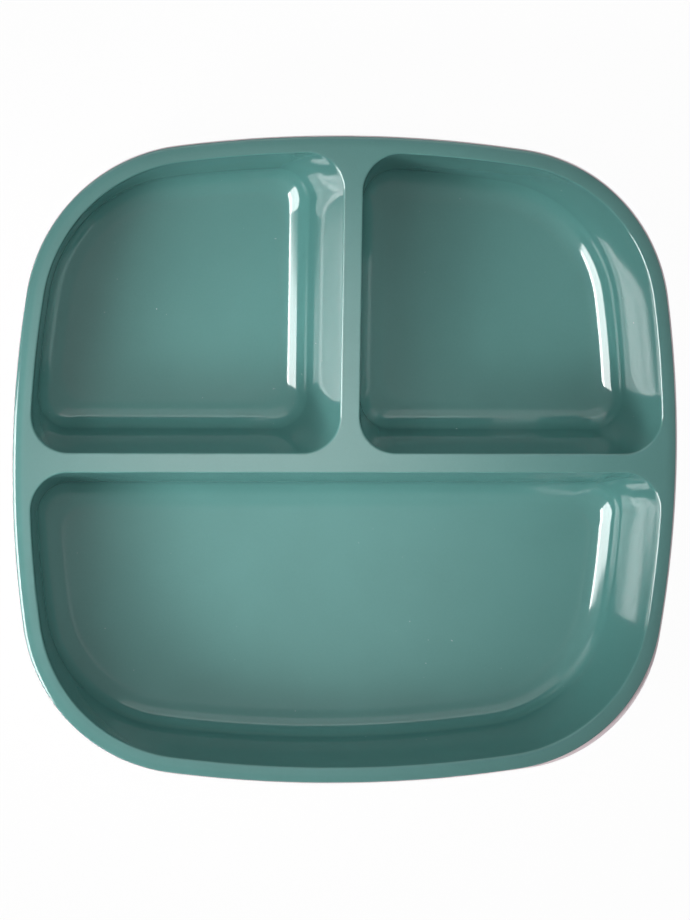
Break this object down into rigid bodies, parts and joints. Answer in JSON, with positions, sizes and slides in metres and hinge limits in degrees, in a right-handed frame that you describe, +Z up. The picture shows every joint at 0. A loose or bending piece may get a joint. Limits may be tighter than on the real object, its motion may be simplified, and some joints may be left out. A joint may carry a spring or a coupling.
{
  "type": "divided children's plate",
  "caption": "Deep divided children's plate with rounded wells for separate foods: a glossy teal inner tray bonded into a pale pink outer shell with low foot rings.",
  "frame": {"origin": "under the middle of the plate, on the surface that its foot rings stand on", "axes": "+X to the plate's right, +Y to its far edge with the small wells, +Z up out of the wells"},
  "size_m": [0.22, 0.2118, 0.0425],
  "materials": {
    "tray": "glossy teal moulded melamine",
    "shell": "glossy pale pink moulded melamine"
  },
  "bodies": {
    "root": {"inner_tray": "tray", "outer_shell": "shell"}
  },
  "joints": []
}
